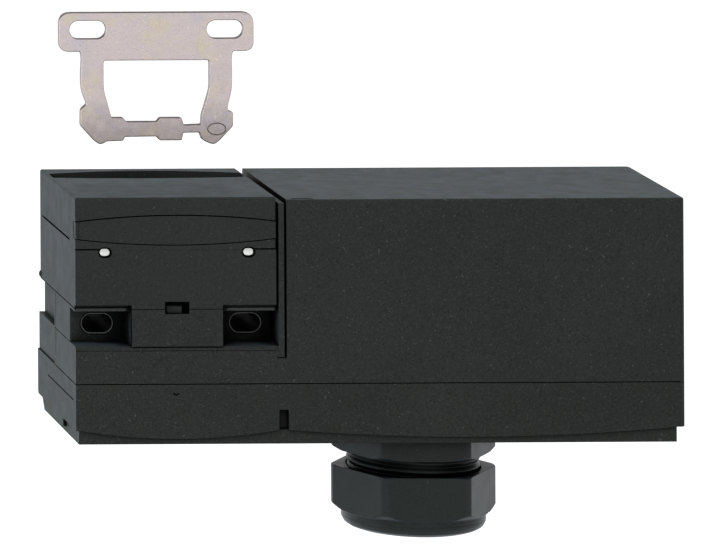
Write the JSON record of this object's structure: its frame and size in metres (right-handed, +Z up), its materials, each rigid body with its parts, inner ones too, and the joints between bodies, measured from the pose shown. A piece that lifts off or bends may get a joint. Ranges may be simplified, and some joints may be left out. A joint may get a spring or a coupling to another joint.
{
  "type": "tongue interlock switch",
  "caption": "Safety interlock switch with a stamped steel tongue, a cam-wheel head, a solenoid-locked black plastic housing and a cable gland underneath.",
  "frame": {"origin": "midway between the two fixing slots, on the rear mounting face", "axes": "+X right along the housing from the head to the solenoid end, +Y into the mounting wall, +Z up towards the withdrawn tongue"},
  "size_m": [0.09, 0.03, 0.0759],
  "materials": {
    "housing_black": "fine moulded texture",
    "head_black": "fine moulded texture",
    "cover_black": "fine moulded texture",
    "gland_black": "smooth moulded",
    "tongue_zinc": "zinc plated, stamped",
    "pin_steel": "bright",
    "screw_steel": "zinc plated",
    "shaft_steel": "ground",
    "spring_steel": "drawn wire",
    "wheel_plastic": "acetal",
    "plunger_plastic": "moulded",
    "contact_plastic": "moulded",
    "contact_brass": "stamped",
    "bobbin_plastic": "moulded",
    "coil_copper": "taped winding",
    "core_steel": "turned",
    "yoke_steel": "zinc plated",
    "seal_rubber": "moulded"
  },
  "bodies": {
    "housing": {"armature_spring": "spring_steel", "cam_shaft": "shaft_steel", "cap_pins": "pin_steel", "clamp_ring": "gland_black", "coil_bobbin": "bobbin_plastic", "coil_winding": "coil_copper", "contact_block": "contact_plastic", "contact_screws": "screw_steel", "cover_gasket": "seal_rubber", "cover_screws": "screw_steel", "fixed_contacts": "contact_brass", "gland_body": "gland_black", "gland_gasket": "seal_rubber", "gland_locknut": "gland_black", "gland_seal": "seal_rubber", "head_base": "head_black", "head_cap": "head_black", "head_latch": "head_black", "main_housing": "housing_black", "neck_block": "housing_black", "plunger_spring": "spring_steel", "pole_piece": "core_steel", "slot_plug": "head_black", "solenoid_yoke": "yoke_steel", "terminal_block": "contact_plastic", "terminal_cover": "cover_black", "terminal_screws": "screw_steel"},
    "tongue": {"tongue": "tongue_zinc"},
    "cam_wheel": {"cam_wheel": "wheel_plastic"},
    "plunger": {"plunger": "plunger_plastic", "contact_bridges": "contact_brass"},
    "armature": {"armature": "core_steel", "locking_bolt": "shaft_steel"},
    "gland_nut": {"gland_nut": "gland_black"}
  },
  "joints": [
    {"name": "tongue_slide", "type": "slide", "parent": "housing", "child": "tongue", "axis": [0, 0, -1], "range_m": [0, 0.0185]},
    {"name": "wheel_turn", "type": "hinge", "parent": "housing", "child": "cam_wheel", "pos_m": [0.0009, -0.0157, 0.0108], "axis": [-1, 0, 0], "range_deg": [0, 171]},
    {"name": "plunger_slide", "type": "slide", "parent": "housing", "child": "plunger", "axis": [0, 0, 1], "range_m": [0, 0.0022], "deforming": ["plunger_spring"]},
    {"name": "bolt_slide", "type": "slide", "parent": "housing", "child": "armature", "axis": [-1, 0, 0], "range_m": [0, 0.0028], "stiffness_N_per_m": 100, "springref_m": -0.005, "deforming": ["armature_spring"]},
    {"name": "gland_nut_turn", "type": "hinge", "parent": "housing", "child": "gland_nut", "pos_m": [0.0383, -0.015, -0.0262], "axis": [0, 0, 1], "continuous": true}
  ],
  "couplings": [
    {"joint": "wheel_turn", "follows": "tongue_slide", "rad_per_m": 161.29},
    {"joint": "plunger_slide", "follows": "tongue_slide", "ratio": 0.1189}
  ]
}
